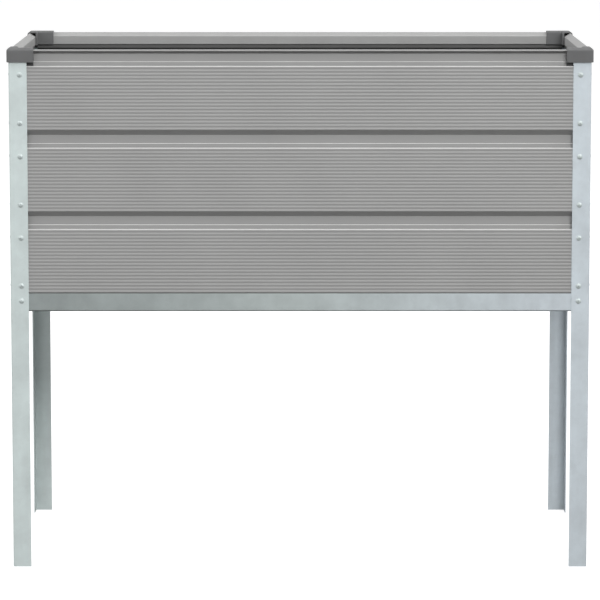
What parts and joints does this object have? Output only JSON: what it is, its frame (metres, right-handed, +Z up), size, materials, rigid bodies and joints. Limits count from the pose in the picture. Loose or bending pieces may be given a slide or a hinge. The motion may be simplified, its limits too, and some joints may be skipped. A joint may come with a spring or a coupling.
{
  "type": "raised planter on legs",
  "caption": "Waist-high rectangular planting box of ribbed galvanised sheet boards on angle-steel corner legs, with a folded rim, grey corner caps and a drained floor.",
  "frame": {"origin": "on the ground, under the middle of the planter", "axes": "+X along the long side, to the right seen from the front; +Y from front to rear; +Z up"},
  "size_m": [1, 0.5, 0.9],
  "materials": {
    "board_steel": "matt zinc-aluminium coated sheet",
    "leg_steel": "satin galvanised",
    "rail_steel": "satin galvanised",
    "trim_steel": "satin galvanised",
    "floor_steel": "galvanised with spangle",
    "cap_plastic": "fine-textured moulded grey",
    "zinc_plate": "bright zinc plated"
  },
  "bodies": {
    "root": {"leg_front_left": "leg_steel", "leg_front_right": "leg_steel", "leg_rear_left": "leg_steel", "leg_rear_right": "leg_steel", "corner_cap_front_left": "cap_plastic", "corner_cap_front_right": "cap_plastic", "corner_cap_rear_left": "cap_plastic", "corner_cap_rear_right": "cap_plastic", "board_front_top": "board_steel", "board_front_middle": "board_steel", "board_front_bottom": "board_steel", "board_rear_top": "board_steel", "board_rear_middle": "board_steel", "board_rear_bottom": "board_steel", "board_left_top": "board_steel", "board_left_middle": "board_steel", "board_left_bottom": "board_steel", "board_right_top": "board_steel", "board_right_middle": "board_steel", "board_right_bottom": "board_steel", "bottom_rail_front": "rail_steel", "bottom_rail_rear": "rail_steel", "bottom_rail_left": "rail_steel", "bottom_rail_right": "rail_steel", "top_rail_front": "trim_steel", "top_rail_rear": "trim_steel", "top_rail_left": "trim_steel", "top_rail_right": "trim_steel", "floor_panel_1": "floor_steel", "floor_panel_2": "floor_steel", "floor_panel_3": "floor_steel", "floor_panel_4": "floor_steel", "front_bolts": "zinc_plate", "front_washers": "zinc_plate", "front_nuts": "zinc_plate", "rear_bolts": "zinc_plate", "rear_washers": "zinc_plate", "rear_nuts": "zinc_plate", "left_bolts": "zinc_plate", "left_washers": "zinc_plate", "left_nuts": "zinc_plate", "right_bolts": "zinc_plate", "right_washers": "zinc_plate", "right_nuts": "zinc_plate"}
  },
  "joints": []
}
